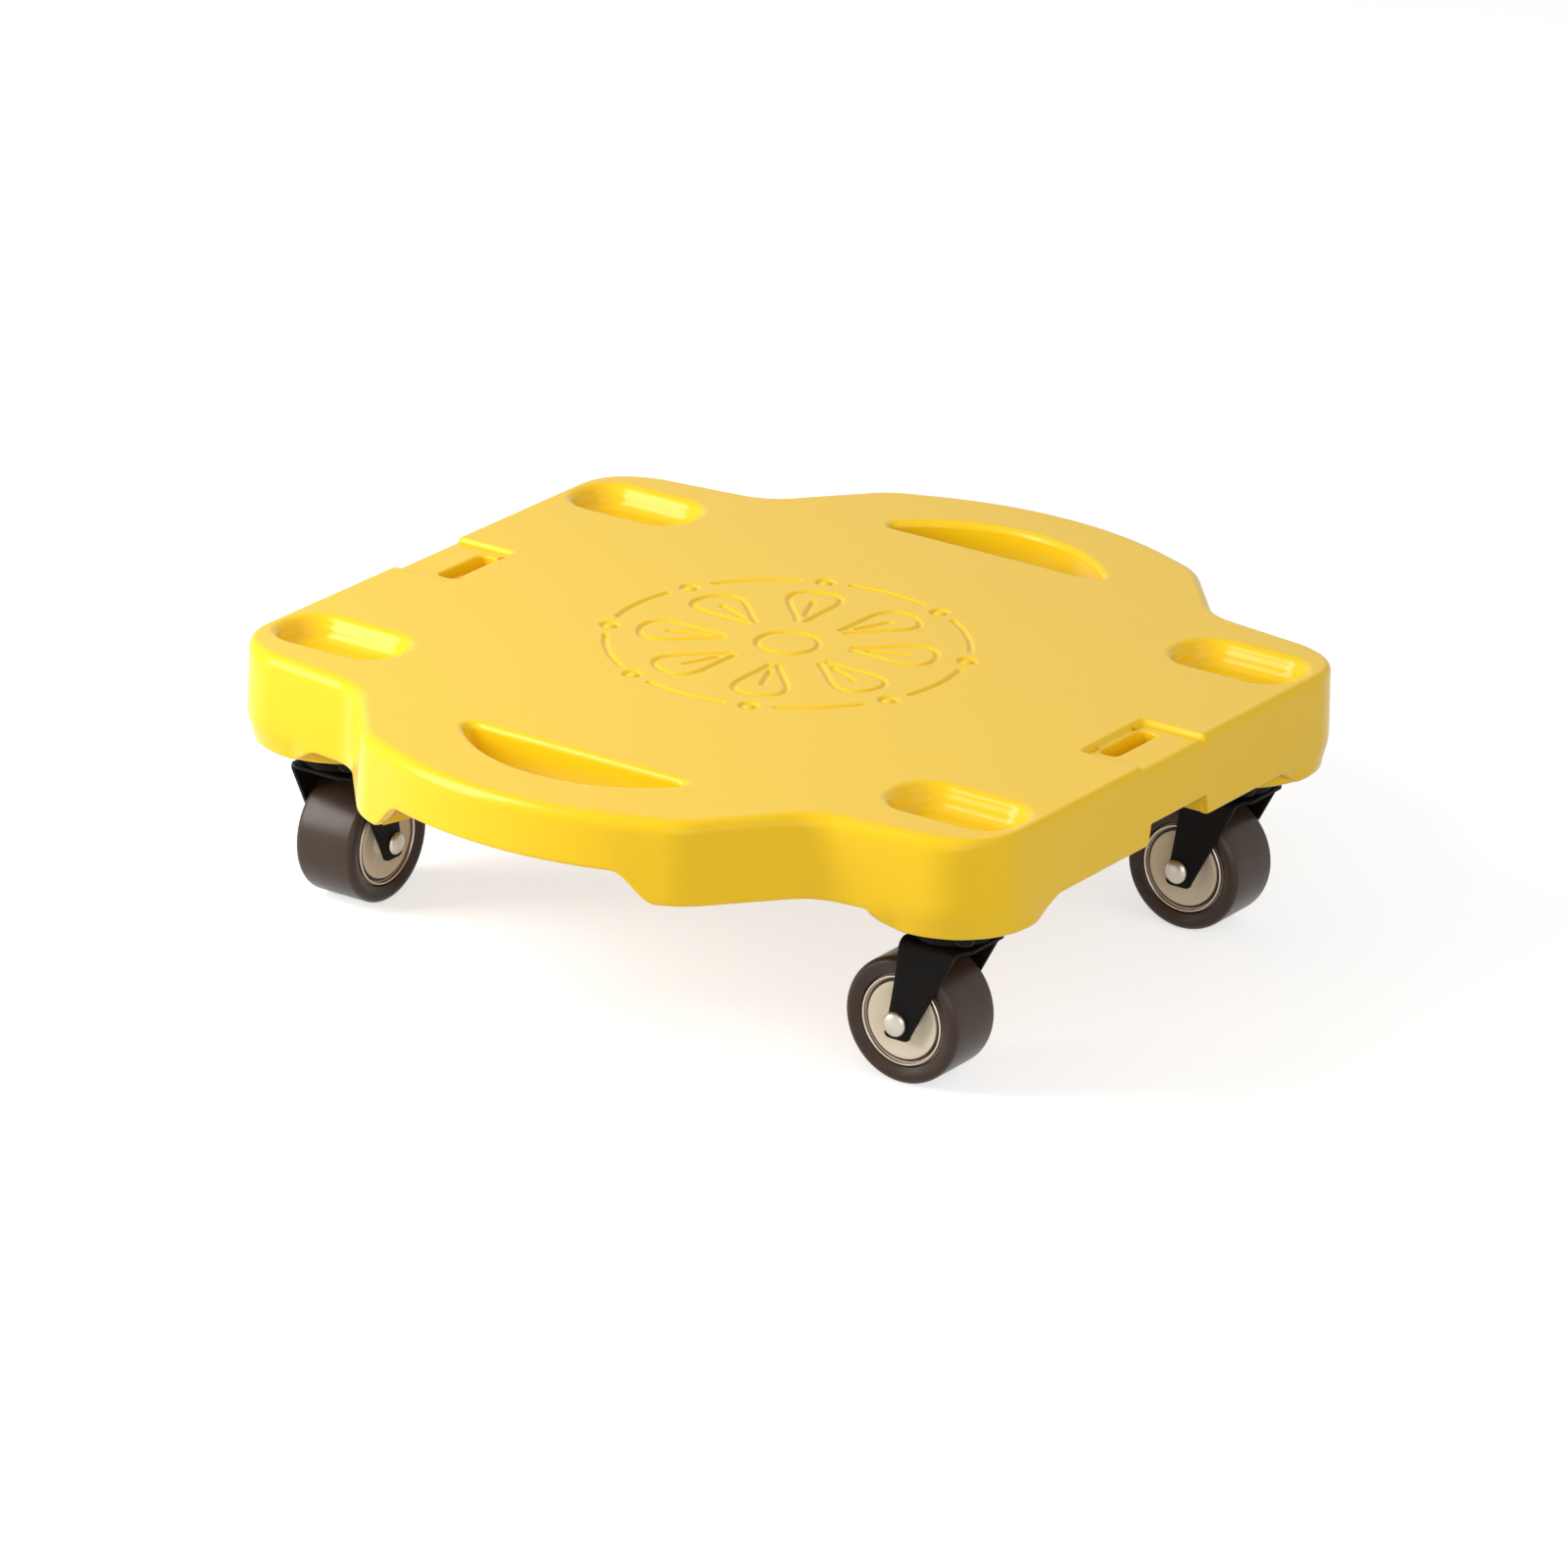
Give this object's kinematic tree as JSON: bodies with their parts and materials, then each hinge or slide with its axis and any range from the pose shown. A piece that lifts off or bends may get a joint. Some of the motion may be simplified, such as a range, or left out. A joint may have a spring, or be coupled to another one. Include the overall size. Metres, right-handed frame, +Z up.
{
  "type": "scooter board",
  "caption": "Low moulded floor scooter board with winged hand holes, strap slots, nesting pockets and swivel casters with raked forks.",
  "frame": {"origin": "on the floor, under the middle of the deck", "axes": "+X from the left straight end to the right one, +Y from the front wing to the back one, +Z up out of the riding face"},
  "size_m": [0.38, 0.423, 0.1192],
  "materials": {
    "deck_plastic": "satin moulded yellow",
    "black_steel": "satin black",
    "zinc": "zinc plated",
    "trim_metal": "bright ring",
    "tyre": "matt dark brown",
    "hub_plastic": "satin cream"
  },
  "bodies": {
    "board": {"deck": "deck_plastic", "plate_front_right": "black_steel", "race_front_right": "black_steel", "king_pin_front_right": "zinc", "screw_1_front_right": "zinc", "screw_2_front_right": "zinc", "screw_3_front_right": "zinc", "screw_4_front_right": "zinc", "plate_back_right": "black_steel", "race_back_right": "black_steel", "king_pin_back_right": "zinc", "screw_1_back_right": "zinc", "screw_2_back_right": "zinc", "screw_3_back_right": "zinc", "screw_4_back_right": "zinc", "plate_front_left": "black_steel", "race_front_left": "black_steel", "king_pin_front_left": "zinc", "screw_1_front_left": "zinc", "screw_2_front_left": "zinc", "screw_3_front_left": "zinc", "screw_4_front_left": "zinc", "plate_back_left": "black_steel", "race_back_left": "black_steel", "king_pin_back_left": "zinc", "screw_1_back_left": "zinc", "screw_2_back_left": "zinc", "screw_3_back_left": "zinc", "screw_4_back_left": "zinc"},
    "swivel_front_right": {"fork_front_right": "black_steel", "axle_front_right": "zinc", "nut_front_right": "zinc"},
    "wheel_front_right": {"tyre_front_right": "tyre", "hub_front_right": "hub_plastic", "trim_a_front_right": "trim_metal", "trim_b_front_right": "trim_metal"},
    "swivel_back_right": {"fork_back_right": "black_steel", "axle_back_right": "zinc", "nut_back_right": "zinc"},
    "wheel_back_right": {"tyre_back_right": "tyre", "hub_back_right": "hub_plastic", "trim_a_back_right": "trim_metal", "trim_b_back_right": "trim_metal"},
    "swivel_front_left": {"fork_front_left": "black_steel", "axle_front_left": "zinc", "nut_front_left": "zinc"},
    "wheel_front_left": {"tyre_front_left": "tyre", "hub_front_left": "hub_plastic", "trim_a_front_left": "trim_metal", "trim_b_front_left": "trim_metal"},
    "swivel_back_left": {"fork_back_left": "black_steel", "axle_back_left": "zinc", "nut_back_left": "zinc"},
    "wheel_back_left": {"tyre_back_left": "tyre", "hub_back_left": "hub_plastic", "trim_a_back_left": "trim_metal", "trim_b_back_left": "trim_metal"}
  },
  "joints": [
    {"name": "swivel_front_right", "type": "hinge", "parent": "board", "child": "swivel_front_right", "pos_m": [0.1534, -0.105, 0.066], "axis": [0, 0, 1], "continuous": true},
    {"name": "wheel_spin_front_right", "type": "hinge", "parent": "swivel_front_right", "child": "wheel_front_right", "pos_m": [0.1389, -0.105, 0.027], "axis": [0, 1, 0], "continuous": true},
    {"name": "swivel_back_right", "type": "hinge", "parent": "board", "child": "swivel_back_right", "pos_m": [0.1534, 0.105, 0.066], "axis": [0, 0, 1], "continuous": true},
    {"name": "wheel_spin_back_right", "type": "hinge", "parent": "swivel_back_right", "child": "wheel_back_right", "pos_m": [0.1389, 0.105, 0.027], "axis": [0, 1, 0], "continuous": true},
    {"name": "swivel_front_left", "type": "hinge", "parent": "board", "child": "swivel_front_left", "pos_m": [-0.1534, -0.105, 0.066], "axis": [0, 0, 1], "continuous": true},
    {"name": "wheel_spin_front_left", "type": "hinge", "parent": "swivel_front_left", "child": "wheel_front_left", "pos_m": [-0.1534, -0.0905, 0.027], "axis": [1, 0, 0], "continuous": true},
    {"name": "swivel_back_left", "type": "hinge", "parent": "board", "child": "swivel_back_left", "pos_m": [-0.1534, 0.105, 0.066], "axis": [0, 0, 1], "continuous": true},
    {"name": "wheel_spin_back_left", "type": "hinge", "parent": "swivel_back_left", "child": "wheel_back_left", "pos_m": [-0.1389, 0.105, 0.027], "axis": [0, -1, 0], "continuous": true}
  ]
}
